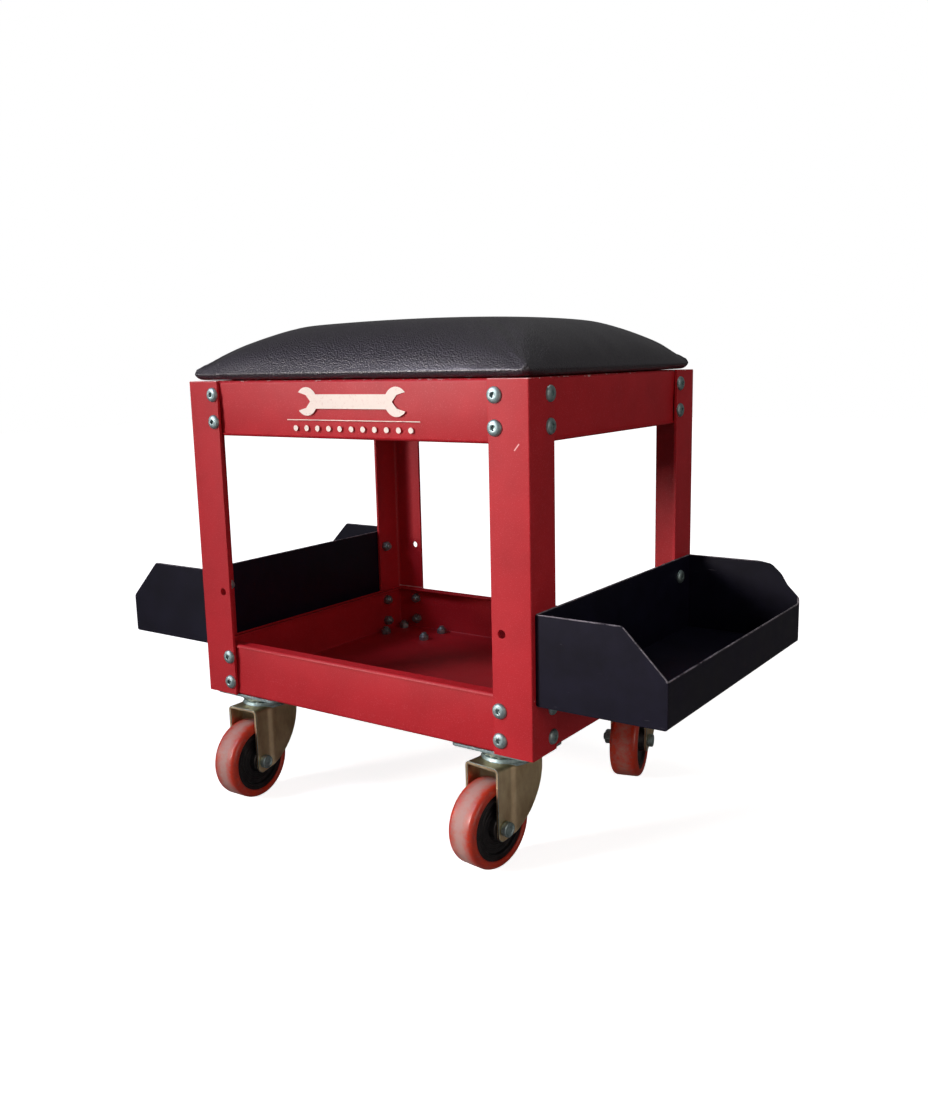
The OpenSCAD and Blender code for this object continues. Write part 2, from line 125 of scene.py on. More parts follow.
# %% [markdown]
# ## Shapes from numbers
# Every new piece is a grid of points worked out as arrays. Four small makers cover the whole
# seat: a grid, a turned surface, a bent sheet between two matching grids, and a stack of rounded
# rectangles. A surface is a pair: its points, and its faces as lists of point numbers.


# %% grids and how they are joined
def grid(points, wrap=False):
    """Faces between neighbours (i, j), (i+1, j), (i+1, j+1), (i, j+1) of an n by m grid of points.

    wrap joins the last column to the first."""
    n, m = points.shape[:2]
    i, j = np.meshgrid(np.arange(n - 1), np.arange(m if wrap else m - 1), indexing="ij")
    i, j, k = i.ravel(), j.ravel(), (j.ravel() + 1) % m
    faces = np.stack([i * m + j, (i + 1) * m + j, (i + 1) * m + k, i * m + k], 1)
    return points.reshape(-1, 3), faces.tolist()


def join(*surfaces):
    """One surface from many: later faces count their points after the earlier ones."""
    points, faces, first = [], [], 0
    for p, f in surfaces:
        points.append(p)
        faces += [[first + v for v in face] for face in f]
        first += len(p)
    return np.concatenate(points), faces


def moved(surface, matrix):
    """The surface with its points multiplied by a 4 by 4 matrix."""
    m = np.array(matrix)
    return surface[0] @ m[:3, :3].T + m[:3, 3], surface[1]


def lathe(profile, steps=40, rim=None):
    """Turned surface: profile point (r, h) goes to (r cos a, r sin a, h) for a round the circle.

    rim, if given, is a function of r, h and a that changes r, for hexagons."""
    r, h = np.array(profile, float).T[:, :, None]
    a = np.linspace(0, 2 * np.pi, steps, endpoint=False)[None, :]
    r = (r + 0 * a) if rim is None else rim(r + 0 * a, h + 0 * a, a)
    return grid(np.stack([r * np.cos(a), r * np.sin(a), h + 0 * a], -1), wrap=True)


def sheet(outer, inner):
    """Solid of sheet metal between two matching n by m grids, closed along its four borders."""
    rims = [np.stack([outer[e], inner[e]]) for e in (0, -1)]
    rims += [np.stack([outer[:, e], inner[:, e]]) for e in (0, -1)]
    return join(grid(outer), grid(inner), *[grid(r) for r in rims])


def bend(x, y, r, start, steps=5):
    """Points of a quarter circle of radius r round (x, y), from start degrees, turning left."""
    a = np.radians(start + np.linspace(0, 90, steps))
    return np.stack([x + r * np.cos(a), y + r * np.sin(a)], 1)


def rounded(levels, steps=5):
    """Stack of rounded rectangles given as (half width, half depth, corner radius, height).

    A point on a corner is the corner's centre plus the radius times (cos a, sin a)."""
    a, b, r, z = np.array(levels, float).T[:, :, None]
    turn = np.concatenate([np.linspace(q, q + 90, steps) for q in (0, 90, 180, 270)])
    sx = np.repeat([1, -1, -1, 1], steps)[None, :]
    sy = np.repeat([1, 1, -1, -1], steps)[None, :]
    c, s = np.cos(np.radians(turn))[None, :], np.sin(np.radians(turn))[None, :]
    x, y = sx * (a - r) + r * c, sy * (b - r) + r * s
    return grid(np.stack([x, y, z + 0 * x], -1), wrap=True)


# %% [markdown]
# A finished surface becomes an object in one place: its points are brought to metres, doubled
# points at seams and poles are merged, and its faces are turned outwards. A small bevel gives the
# edges the thin line of light that rolled and pressed steel has.


# %% surface to object
def coordinates(mesh):
    """Points of a mesh as an n by 3 array."""
    co = np.zeros(len(mesh.vertices) * 3, np.float32)
    mesh.vertices.foreach_get("co", co)
    return co.reshape(-1, 3)


def make(name, surface, material, body, slot=None, replaces=(), edge=0.3, smooth=35, rim=None):
    """Object from a surface in millimetres, riding on a body.

    edge is the bevel in millimetres, and rim, if given, is the finish of the bevelled edges."""
    mesh = bpy.data.meshes.new(name)
    mesh.from_pydata((surface[0] * MM).tolist(), [], surface[1])
    work = bmesh.new()
    work.from_mesh(mesh)
    bmesh.ops.remove_doubles(work, verts=work.verts, dist=2e-6)
    bmesh.ops.recalc_face_normals(work, faces=work.faces)
    work.to_mesh(mesh)
    work.free()
    mesh.shade_smooth()
    piece = bpy.data.objects.new(name, mesh)
    bpy.context.scene.collection.objects.link(piece)
    mesh.materials.append(material)
    if edge:
        bevel = piece.modifiers.new("edges", "BEVEL")
        bevel.width, bevel.segments, bevel.harden_normals = edge * MM, 2, True
        bevel.limit_method, bevel.angle_limit = "ANGLE", np.radians(smooth)
        if rim:
            mesh.materials.append(rim)
            bevel.material = 1
    else:
        mesh.set_sharp_from_angle(angle=np.radians(smooth))
    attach(piece, body)
    if replaces:
        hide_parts(*replaces)
    print(f"{name}: {len(mesh.polygons)} faces")
    return piece


# %% [markdown]
# ## Finishes
# Each finish is a small net of nodes on the Principled shader. One function adds a node, and a
# value that is itself a socket is linked. Patterns read the object's own coordinates, in metres,
# so their scale comes from a real size: a pattern that repeats every n millimetres has scale
# 1000 / n.


# %% one helper for nodes
def add(mat, kind, inputs=None, **settings):
    """Adds a node with its options, sets or links its inputs, and returns its live output."""
    node = mat.node_tree.nodes.new("ShaderNode" + kind)
    for name, value in settings.items():
        setattr(node, name, value)
    for key, value in (inputs or {}).items():
        if isinstance(key, int):
            socket = node.inputs[key]
        else:
            socket = next(s for s in node.inputs if s.enabled and s.name == key)
        if isinstance(value, bpy.types.NodeSocket):
            mat.node_tree.links.new(value, socket)
        else:
            socket.default_value = value
    return next(s for s in node.outputs if s.enabled)


def finish(name, **sockets):
    """New material of this name; sockets are its Principled inputs, with _ for a space."""
    mat = bpy.data.materials.new(name)
    mat.use_nodes = True
    shader = mat.node_tree.nodes["Principled BSDF"]
    for key, value in sockets.items():
        shader.inputs[key.replace("_", " ")].default_value = value
    place = add(mat, "TexCoord")
    return mat, shader, place.node.outputs["Object"]


def link(mat, output, shader, socket):
    """Links a pattern's output to a socket of the shader."""
    mat.node_tree.links.new(output, shader.inputs[socket])


def mix(mat, factor, a, b):
    """Colour between a and b by factor; each is an sRGB hex code or an output."""
    a, b = (lin(c) if isinstance(c, str) else c for c in (a, b))
    return add(mat, "Mix", {"Factor": factor, "A": a, "B": b}, data_type="RGBA")


def calc(mat, operation, *values):
    """Result of a Math node on numbers or outputs."""
    return add(mat, "Math", dict(enumerate(values)), operation=operation)


def noise(mat, place, size, detail, roughness=0.5):
    """Noise with clouds of about this size in millimetres."""
    inputs = {"Vector": place, "Scale": 1000 / size, "Detail": detail, "Roughness": roughness}
    return add(mat, "TexNoise", inputs)


def remap(mat, value, low=0.0, high=1.0, to=(0.0, 1.0)):
    """Value carried from the range low to high over to another range, and held at its ends."""
    ends = {"From Min": low, "From Max": high, "To Min": to[0], "To Max": to[1]}
    return add(mat, "MapRange", {"Value": value, **ends})


def bump(mat, height, strength, depth, normal=None, **settings):
    """Bump of a depth in metres, on top of another bump where one is given."""
    inputs = {"Height": height, "Strength": strength, "Distance": depth}
    if normal:
        inputs["Normal"] = normal
    return add(mat, "Bump", inputs, **settings)


# %% [markdown]
# **Red powder coat.** The frame is sprayed with dry polyester powder and baked. The film levels
# into a faint orange peel, about 2.5 mm from crest to crest, with a satin sheen. It
# has darker and paler clouds, fine dust specks, and pale chips where the top edges are knocked.
# Along the outer folds of the front and back walls a pale line is painted on as a highlight
# where light catches the bend, and the front right leg has one short slanting nick.

# %% red powder coat
red, shader, place = finish("red_powder_coat", Specular_IOR_Level=0.38)
clouds = noise(red, place, 45, 5.0, 0.6)
cloud = remap(red, clouds, 0.3, 0.7)
tone = mix(red, cloud, "#AE141F", "#BE1A26")
dust = noise(red, place, 0.9, 2.0)
speck = remap(red, dust, 0.58, 0.72, to=(0, 0.6))
tone = mix(red, speck, tone, "#D0505A")
split = add(red, "SeparateXYZ", {"Vector": place}).node.outputs
height, across = split["Z"], calc(red, "ABSOLUTE", split["Y"])
near_top = remap(red, height, 0.4040, 0.4088, to=(0, 0.34))
chip_noise = noise(red, place, 4.5, 6.0, 0.7)
chip_level = calc(red, "ADD", chip_noise, near_top)
chip = remap(red, chip_level, 0.90, 0.93)
tone = mix(red, chip, tone, "#D8CFC8")
# Painted highlight: a pale pink line along the outer folds of the shelf and top frame walls stands
# in for light caught on the bend.
at_wall = calc(red, "COMPARE", across, 0.15075, 0.00065)
shelf_fold = calc(red, "COMPARE", height, 0.1538, 0.0006)
shelf_fold = calc(red, "MULTIPLY", shelf_fold, at_wall)
outer = calc(red, "GREATER_THAN", across, 0.1502)
top_fold = calc(red, "COMPARE", height, 0.409, 0.0006)
top_fold = calc(red, "MULTIPLY", top_fold, outer)
painted_fold_highlight = calc(red, "MAXIMUM", shelf_fold, top_fold)
painted_fold_highlight = calc(red, "MULTIPLY", painted_fold_highlight, cloud)
nick = {"Vector": place, "Location": (0.1789, -0.154, 0.3564), "Rotation": (0, np.radians(-50), 0)}
nick = add(red, "Mapping", nick, vector_type="TEXTURE")
nick = add(red, "SeparateXYZ", {"Vector": nick}).node.outputs
NICK_HALF = (0.0034, 0.0006, 0.0005)
inside = [calc(red, "COMPARE", nick[i], 0.0, half) for i, half in enumerate(NICK_HALF)]
nicked = calc(red, "MULTIPLY", inside[0], inside[1])
nicked = calc(red, "MULTIPLY", nicked, inside[2])
# The painted fold highlight is joined with the nick, which is real wear, and both take the pale
# colour.
fold_highlight_and_nick = calc(red, "MAXIMUM", painted_fold_highlight, nicked)
tone = mix(red, fold_highlight_and_nick, tone, "#F0B4B4")
link(red, tone, shader, "Base Color")
smear = noise(red, place, 70, 6.0, 0.7)
link(red, remap(red, smear, to=(0.42, 0.62)), shader, "Roughness")
peel = noise(red, place, 2.5, 2.0)
peel = bump(red, peel, 0.25, 0.0002)
link(red, bump(red, chip, 0.5, 0.0001, peel, invert=True), shader, "Normal")
print("red powder coat:", len(red.node_tree.nodes), "nodes")

# %% [markdown]
# **Black powder coat.** The trays have a satin black film with a cool cast. Tools slide in over
# their upper edges, so those are worn to pale bare steel, and the faces carry fine long scratches.

# %% black powder coat
black, shader, place = finish("black_powder_coat", IOR=1.5, Specular_IOR_Level=0.24)
clouds = noise(black, place, 30, 7.0, 0.65)
cloud = remap(black, clouds, 0.3, 0.75)
tone = mix(black, cloud, "#060514", "#0E0C22")
split = add(black, "SeparateXYZ", {"Vector": place}).node
side = calc(black, "ABSOLUTE", split.outputs["X"])
diagonal = calc(black, "ADD", side, split.outputs["Z"])
on_slope = remap(black, diagonal, 0.4905, 0.4914)
on_back = remap(black, split.outputs["Z"], 0.2240, 0.2248)
outside = calc(black, "GREATER_THAN", side, 0.3028)
on_front = remap(black, split.outputs["Z"], 0.1861, 0.1868)
on_front = calc(black, "MULTIPLY", on_front, outside)
near_plate = calc(black, "LESS_THAN", split.outputs["Y"], 0.146)
on_slope = calc(black, "MULTIPLY", on_slope, near_plate)
edge = calc(black, "MAXIMUM", on_slope, on_back)
edge = calc(black, "MAXIMUM", edge, on_front)
rub = noise(black, place, 12, 8.0, 0.75)
rub = remap(black, rub, 0.36, 0.56)
worn = calc(black, "MULTIPLY", edge, rub)
stretched = {"Vector": place, "Rotation": (0.3, 0.9, 0.5), "Scale": (60, 900, 500)}
stretched = add(black, "Mapping", stretched)
scratches = add(black, "TexNoise", {"Vector": stretched, "Scale": 1.0, "Detail": 3.0})
scratch = remap(black, scratches, 0.74, 0.80, to=(0, 0.35))
marks = calc(black, "MAXIMUM", worn, scratch)
tone = mix(black, marks, tone, "#8E8A92")
link(black, tone, shader, "Base Color")
link(black, remap(black, clouds, to=(0.34, 0.56)), shader, "Roughness")
peel = noise(black, place, 1.2, 2.0)
link(black, bump(black, peel, 0.3, 0.00012), shader, "Normal")
print("black powder coat:", len(black.node_tree.nodes), "nodes")

# %% [markdown]
# **Blue zinc.** Bolts and nuts are plated with zinc under a clear blue passivate. It is a bright,
# slightly clouded metal, with duller smudges where a spanner or a thumb has been.

# %% zinc plating
zinc, shader, place = finish("zinc_plated_steel", Metallic=1.0, Roughness=0.28)
smudge = noise(zinc, place, 3.5, 5.0, 0.6)
mask = remap(zinc, smudge, 0.35, 0.7)
link(zinc, mix(zinc, mask, "#AEC2C2", "#7E9496"), shader, "Base Color")
link(zinc, remap(zinc, smudge, to=(0.42, 0.66)), shader, "Roughness")
grit = noise(zinc, place, 0.5, 2.0)
link(zinc, bump(zinc, grit, 0.12, 0.00005), shader, "Normal")

# %% [markdown]
# ** Yellow chromate.** The pressed caster forks are zinc plated and chromated, which leaves a drab
# gold that runs in streaks, as when the bath drips off a hanging part. The plates take blue zinc.

# %% yellow chromate
chromate, shader, place = finish("chromated_steel", Metallic=1.0, Roughness=0.4)
runs = add(chromate, "Mapping", {"Vector": place, "Scale": (1000 / 16, 1000 / 16, 1000 / 30)})
runs = add(chromate, "TexNoise", {"Vector": runs, "Scale": 1.0, "Detail": 6.0, "Roughness": 0.65})
mask = remap(chromate, runs, 0.32, 0.68)
tone = mix(chromate, mask, "#D8BC90", "#FFEBC0")
spots = noise(chromate, place, 2.2, 4.0, 0.7)
grime = remap(chromate, spots, 0.62, 0.78, to=(0, 0.35))
tone = mix(chromate, grime, tone, "#4A4330")
link(chromate, tone, shader, "Base Color")
link(chromate, remap(chromate, runs, to=(0.24, 0.46)), shader, "Roughness")
link(chromate, bump(chromate, spots, 0.1, 0.0001), shader, "Normal")
print("metals:", zinc.name, chromate.name)

# %% [markdown]
# **Seat vinyl.** Upholstery vinyl is embossed with a leather grain of cells about a millimetre
# wide. The hills are polished by trousers and the valleys stay matt, so the sheen breaks into
# sparks. A grain this fine is drawn 1.6 mm wide, the least that still shows.

# %% seat vinyl
vinyl, shader, place = finish(
    "seat_vinyl", IOR=1.5, Specular_IOR_Level=0.7, Coat_Weight=0.6, Coat_Roughness=0.28
)
cells = add(vinyl, "TexVoronoi", {"Vector": place, "Scale": 1000 / 1.6}, feature="F1")
creases = noise(vinyl, place, 6, 6.0, 0.65)
mask = remap(vinyl, creases, 0.3, 0.7)
link(vinyl, mix(vinyl, mask, "#0D0714", "#190E20"), shader, "Base Color")
hills = remap(vinyl, cells, 0, 0.7, to=(0.22, 0.52))
link(vinyl, hills, shader, "Roughness")
grain = bump(vinyl, cells, 1.0, 0.0007, invert=True)
link(vinyl, bump(vinyl, creases, 0.25, 0.0006, grain), shader, "Normal")

# %% [markdown]
# **Cast polyurethane.** The tread is poured on the hub. It is a waxy red-orange that lets a little
# light in, and the middle of the tread is ground to a pale dusty pink by the floor. The wheel
# carries its own measure of how near the middle a point is, because the wheels stand at turns.

# %% polyurethane
urethane, shader, place = finish(
    "polyurethane", Roughness=0.4, IOR=1.5, Subsurface_Weight=0.12, Subsurface_Scale=0.003
)
shader.inputs["Subsurface Radius"].default_value = (1.0, 0.25, 0.1)
middle = add(urethane, "Attribute", attribute_name="tread").node.outputs["Fac"]
dirt = noise(urethane, place, 5, 7.0, 0.7)
dirty = remap(urethane, dirt, 0.3, 0.7, to=(-0.28, 0.28))
band = calc(urethane, "ADD", middle, dirty)
band = remap(urethane, band, 0.05, 0.95, to=(0, 0.95))
patches = remap(urethane, dirt, 0.4, 0.7)
clean = mix(urethane, patches, "#C23A22", "#A52A1C")
tone = mix(urethane, band, clean, "#B89088")
link(urethane, tone, shader, "Base Color")
link(urethane, remap(urethane, band, to=(0.32, 0.7)), shader, "Roughness")
link(urethane, bump(urethane, dirt, 0.2, 0.0002), shader, "Normal")

# %% [markdown]
# **Moulded plastics, rubber, foam and plywood.** These are small or hidden parts, but each still
# has its own surface: a satin black polypropylene hub with a fine spark-eroded texture, a waxy
# nylon bush, matt rubber washers, open-celled foam, and birch plywood with grain along its length.

# %% hub, bush, rubber, foam and plywood
hub_black, shader, place = finish("hub_polypropylene", Roughness=0.4, IOR=1.49)
texture = noise(hub_black, place, 0.7, 3.0)
dust = noise(hub_black, place, 9, 6.0, 0.7)
dust = remap(hub_black, dust, 0.45, 0.8)
link(hub_black, mix(hub_black, dust, "#0B0B0E", "#2C2A2C"), shader, "Base Color")
link(hub_black, bump(hub_black, texture, 0.2, 0.0001), shader, "Normal")

nylon, shader, place = finish(
    "bush_nylon", Roughness=0.45, IOR=1.53, Subsurface_Weight=0.1, Subsurface_Scale=0.002
)
wax = noise(nylon, place, 3, 4.0)
link(nylon, mix(nylon, wax, "#D8D0B8", "#BDB49A"), shader, "Base Color")

rubber, shader, place = finish("black_rubber", Roughness=0.8, IOR=1.52)
bloom = noise(rubber, place, 4, 5.0)
link(rubber, mix(rubber, bloom, "#141414", "#2A2928"), shader, "Base Color")

foam, shader, place = finish("seat_foam", Roughness=0.95, IOR=1.4)
pores = add(foam, "TexVoronoi", {"Vector": place, "Scale": 1000 / 1.5})
link(foam, mix(foam, pores, "#B99B55", "#E2CB88"), shader, "Base Color")

plywood, shader, place = finish("plywood", Roughness=0.6, IOR=1.5)
along = add(plywood, "Mapping", {"Vector": place, "Scale": (1000 / 180, 1000 / 5, 1000 / 5)})
fibre = {"Vector": along, "Scale": 1.0, "Detail": 8.0, "Roughness": 0.6, "Distortion": 0.6}
fibre = add(plywood, "TexNoise", fibre)
link(plywood, mix(plywood, fibre, "#9C7342", "#D9B67F"), shader, "Base Color")
link(plywood, bump(plywood, fibre, 0.2, 0.0002), shader, "Normal")

ink, shader, place = finish("cream_screen_print", Roughness=0.5, IOR=1.5)
rubbed = noise(ink, place, 2.5, 7.0, 0.75)
rubbed = remap(ink, rubbed, 0.55, 0.72, to=(0, 0.55))
link(ink, mix(ink, rubbed, "#F4E6DA", "#C98F86"), shader, "Base Color")
print("finishes:", [m.name for m in bpy.data.materials])

# %% [markdown]
# ## Legs
# Each leg is a length of hot-rolled angle: two flanges 38 mm wide and 3 mm thick, with a nearly
# sharp outer corner and a rounded root. The section is an L carried straight up, so it is one
# bent sheet: an outer and an inner line that match point by point. The empty bolt hole is cut
# with a Boolean, which keeps the flange flat around it.


# %% legs
def leg(corner, flange=38, thick=3, root=3.5, heel=1.2):
    """Angle section at one corner: an L-shaped line and its offset, carried from foot to top."""
    (x0, y0, z0), (x1, y1, z1) = [np.array(c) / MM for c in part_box("leg_" + corner)]
    sx, sy = CORNERS[corner]
    outer = np.concatenate([[[0, flange]], bend(heel, heel, heel, 180, 6), [[flange, 0]]])
    root_arc = bend(thick + root, thick + root, root, 180, 6)
    inner = np.concatenate([[[thick, flange]], root_arc, [[flange, thick]]])
    ends = []
    for line in (outer, inner):
        x = (x1 if sx > 0 else x0) - sx * line[:, 0]
        y = (y1 if sy > 0 else y0) - sy * line[:, 1]
        ends.append(np.stack([np.stack([x, y, 0 * x + z], -1) for z in np.linspace(z0, z1, 7)], 1))
    return sheet(*ends)


def drill(piece, place, radius, depth):
    """Cuts a round hole along Y at a place in millimetres and keeps the result as the mesh."""
    ring = lathe([(0, -depth), (radius, -depth), (radius, depth), (0, depth)], 32)
    where = Matrix.Translation(place) @ Matrix.Rotation(np.pi / 2, 4, "X")
    cutter = make(piece.name + "_drill", moved(ring, where), red, "stool", edge=0)
    cut = piece.modifiers.new("hole", "BOOLEAN")
    cut.operation, cut.solver, cut.object = "DIFFERENCE", "EXACT", cutter
    while piece.modifiers[0] != cut:
        bpy.context.view_layer.objects.active = piece
        bpy.ops.object.modifier_move_up(modifier="hole")
    bpy.context.view_layer.update()
    bpy.context.view_layer.objects.active = piece
    bpy.ops.object.modifier_apply(modifier="hole")
    bpy.data.objects.remove(cutter)


SPARE_IN, SPARE_UP = 28.5, 103
for corner, (sx, sy) in CORNERS.items():
    node = "leg_" + corner
    angle = make("angle_" + corner, leg(corner), red, "stool", "red_powder_coat", [node], edge=0.5)
    lo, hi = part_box(node)
    hole_x = (hi.x if sx > 0 else lo.x) / MM - sx * SPARE_IN
    hole_y = (hi.y if sy > 0 else lo.y) / MM
    drill(angle, (hole_x, hole_y, lo.z / MM + SPARE_UP), 3.5, 8)

# %% [markdown]
# ## Shelf and top frame
# Both are pans folded from 1.5 mm sheet: a floor, four walls 51 mm high, and a lip turned in at
# the end of the wall for stiffness. The shelf stands floor down and the top frame floor up. A pan
# is a closed profile carried round a rectangle, so it is a stack of rounded rectangles: each
# level has an inset and a height, and every fold is a quarter circle of levels.


# %% pans
def pan(lo, hi, upside_down, thick=1.5, fold=3.0, lip=12):
    """Folded pan that fills the box: the section runs out along the floor, up, in, and back.

    The outer arc at the lip is listed from the lip to the wall, so the outer face of the wall
    leans in by the fold's radius before it meets the lip."""
    a, b, tall = (hi.x - lo.x) / 2 / MM, (hi.y - lo.y) / 2 / MM, (hi.z - lo.z) / MM
    inner = fold - thick
    low_out, low_in = bend(fold, fold, fold, 180)[::-1], bend(fold, fold, inner, 180)
    high_out, high_in = (bend(fold, tall - fold, radius, 90) for radius in (fold, inner))
    section = [*low_out, *high_out, (lip, tall), (lip, tall - thick), *high_in, *low_in]
    levels = [(0, 0, 0, 0)]
    levels += [(a - d, b - d, max(fold - d, 0.3), z) for d, z in section]
    levels += [(0, 0, 0, thick)]
    levels = [(p, q, r, tall - z if upside_down else z) for p, q, r, z in levels]
    return moved(rounded(levels), Matrix.Translation((0, 0, lo.z / MM)))


for name, node, upside_down in (
    ("folded_shelf", "shelf_pan", False),
    ("folded_top", "top_frame", True),
):
    make(name, pan(*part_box(node), upside_down), red, "stool", "red_powder_coat", [node])

# %% [markdown]
# ## Trays
# A tray is a channel folded from one sheet, with a tall wall against the legs, a floor and a low
# wall at the front. A flat plate is welded on at each end, with its upper front corner cut off.
# The channel is one bent sheet, and each end plate is an outline given a thickness.


# %% trays
def arc_outline(corners, radius=2.5, steps=5):
    """Closed outline with its corners rounded by curves through the corner's two side points.

    Each curve is (1-t)^2 before + 2t(1-t) corner + t^2 after, which leaves both sides smoothly."""
    c = np.array(corners, float)
    before, after = np.roll(c, 1, 0), np.roll(c, -1, 0)
    way_in = c + radius * (before - c) / np.linalg.norm(before - c, axis=1)[:, None]
    way_out = c + radius * (after - c) / np.linalg.norm(after - c, axis=1)[:, None]
    t = np.linspace(0, 1, steps)[None, :, None]
    curve = (1 - t) ** 2 * way_in[:, None] + 2 * t * (1 - t) * c[:, None] + t**2 * way_out[:, None]
    return curve.reshape(-1, 2)


def plate_of(outline, y0, y1):
    """Flat plate: a closed outline in x and z, given thickness from y0 to y1."""
    n = len(outline)
    walls = np.stack([np.insert(outline, 1, y, axis=1) for y in (y0, y1)])
    points, faces = grid(walls, wrap=True)
    return points, faces + [list(range(n)), list(range(n, 2 * n))]


def tray(side, far_corner, thick=1.5, fold=2.5):
    """Channel and two end plates, drawn outwards from the legs and mirrored for the left side."""
    lo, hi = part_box("tray_" + side)
    wide, tall, half = (hi.x - lo.x) / MM, (hi.z - lo.z) / MM, (hi.y - lo.y) / 2 / MM
    low, inner = 38, fold - thick
    profiles = []
    for skin, radius in ((0, fold), (thick, inner)):
        folds = [*bend(fold, fold, radius, 180), *bend(wide - fold, fold, radius, 270)]
        profiles.append(np.array([(skin, tall), *folds, (wide - skin, low)], float))
    ys = np.linspace(-1, 1, 9) * (half - thick + 0.05)
    carried = [
        np.stack([np.stack([p[:, 0], 0 * p[:, 0] + y, p[:, 1]], -1) for y in ys], 1)
        for p in profiles
    ]
    cut = [(0, 0), (wide, 0), (wide, low), (wide - (tall - low), tall), (0, tall)]
    bulged = [(0, 0), (wide, 0), (wide, low + 5), (wide - 12, low + 17), (wide - 18, low + 27)]
    bulged += [(wide - 28, tall - 2), (wide - 40, tall), (0, tall)]
    near = plate_of(arc_outline(cut), -half, -half + thick)
    far = plate_of(arc_outline(bulged if far_corner else cut), half - thick, half)
    points, faces = join(sheet(*carried), near, far)
    mirror = -1 if side == "left" else 1
    start = lo.x if side == "right" else hi.x
    return points * [mirror, 1, 1] + [start / MM, 0, lo.z / MM], faces


for side in ("right", "left"):
    shape = tray(side, far_corner=side == "right")
    make("side_tray_" + side, shape, black, "stool", "black_powder_coat", ["tray_" + side])

# %% [markdown]
# ## Fasteners
# The bolts are M6 with a broad low dome and a hexagon socket, and the nuts are hexagons with a
# round locking collar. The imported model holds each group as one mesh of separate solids, so the
# solids are told apart first, and each gives a place and a direction for a detailed fastener.


# %% where each fastener stands
def solids(node):
    """Separate solids of a CAD node: points that share a triangle take the lowest label between
    them, again and again, until nothing changes."""
    mesh = frame["nodes"][node].data
    mesh.calc_loop_triangles()
    corner = np.zeros(len(mesh.loop_triangles) * 3, np.int32)
    mesh.loop_triangles.foreach_get("vertices", corner)
    whole = np.round(coordinates(mesh) * 1e6).astype(int)
    points, same = np.unique(whole, axis=0, return_inverse=True)
    tri = same.ravel()[corner.reshape(-1, 3)]
    label = np.arange(len(points))
    while True:
        lowest = label[tri].min(1)
        new = label.copy()
        np.minimum.at(new, tri.ravel(), np.repeat(lowest, 3))
        if (new == label).all():
            break
        label = new
    return [points[label == k] / 1000.0 for k in np.unique(label)]


def axis_of(points):
    """End, direction and length of a fastener: the axis is its odd dimension out, and it points
    to the end where the solid is widest."""
    low, high = points.min(0), points.max(0)
    middle, size = (low + high) / 2, high - low
    k = int(np.argmax(np.abs(size - np.median(size))))
    reach = np.linalg.norm(np.delete(points - middle, k, 1), axis=1)
    sign = 1 if points[reach > reach.max() - 0.3, k].mean() > middle[k] else -1
    end = middle.copy()
    end[k] = high[k] if sign > 0 else low[k]
    direction = np.zeros(3)
    direction[k] = sign
    return end, direction, size[k]


def stand(surface, origin, direction, spin):
    """Turns a surface about its own z by spin, stands it along direction and moves it to origin."""
    aim = Vector(direction).to_track_quat("Z", "Y").to_matrix().to_4x4()
    return moved(surface, Matrix.Translation(origin) @ aim @ Matrix.Rotation(spin, 4, "Z"))


def hexagon(flats):
    """Radius of a hexagon at angle a: half the flats over the cosine of the angle from a face."""
    return lambda a: flats / 2 / np.cos((a + np.pi / 6) % (np.pi / 3) - np.pi / 6)


# %% bolts and nuts
BOLT_HEAD = 3.3
PLATED = {"material": zinc, "slot": "zinc_plated_steel", "edge": 0, "smooth": 28}


def button_bolt(length, head_r=6.8, head_h=BOLT_HEAD, flats=4.0, shank_r=3.0):
    """Broad domed head with a hexagon socket, from z = 0; the shank runs to -length.

    The dome is a quarter ellipse from the rim to the mouth of the socket."""
    arc = np.radians([0, 14, 28, 42, 56, 70, 84])
    dome = [(2.6 + (head_r - 2.7) * np.cos(t), 0.8 + (head_h - 0.8) * np.sin(t)) for t in arc]
    mouth = [(2.55, head_h), (2.31, head_h - 0.2), (2.31, head_h - 1.9), (0, head_h - 2.3)]
    tail = [(0, -length), (shank_r - 0.6, -length)]
    thread = [(shank_r - 0.35 * (i % 2), -length + 0.4 + 0.45 * i) for i in range(8)]
    profile = tail + thread + [(shank_r, 0), (head_r - 0.2, 0), (head_r, 0.2)] + dome + mouth
    six = hexagon(flats)

    def rim(r, h, a):
        return np.where((r > 2.2) & (r < 2.4) & (h > 0), six(a), r)

    return lathe(profile, 24, rim)


def lock_nut(flats=10.0, tall=5.0, collar_r=4.4, collar_h=1.6, hole_r=2.9):
    """Hexagon with chamfered corners under a round collar: each ring is the smaller of the
    hexagon and a cone."""
    six = hexagon(flats)
    corner = flats / 2 / np.cos(np.pi / 6)
    top = tall + collar_h
    rings = [(hole_r, 0), (corner - 0.7, 0), (corner, 0.5), (corner, tall - 0.5)]
    rings += [(corner - 0.7, tall), (collar_r, tall), (collar_r, top - 0.4)]
    rings += [(collar_r - 0.4, top), (hole_r, top), (hole_r, 0)]

    def rim(r, h, a):
        return np.where(r > collar_r + 0.05, np.minimum(r, six(a)), r)

    return lathe(rings, 24, rim)


chance = np.random.default_rng(6)
for group in ("top_bolts", "shelf_bolts", "tray_bolts", "caster_bolts"):
    pieces = []
    for points in solids(group):
        end, way, length = axis_of(points)
        bolt, seat_at = button_bolt(length - BOLT_HEAD), end - BOLT_HEAD * way
        pieces.append(stand(bolt, seat_at, way, chance.uniform(0, 6)))
    make("button_" + group, join(*pieces), body="stool", replaces=[group], **PLATED)
for group in ("top_nuts", "shelf_nuts", "tray_nuts", "caster_nuts"):
    pieces = []
    for points in solids(group):
        end, way, length = axis_of(points)
        pieces.append(stand(lock_nut(), end, -way, chance.uniform(0, 6)))
    make("lock_" + group, join(*pieces), body="stool", replaces=[group], **PLATED)

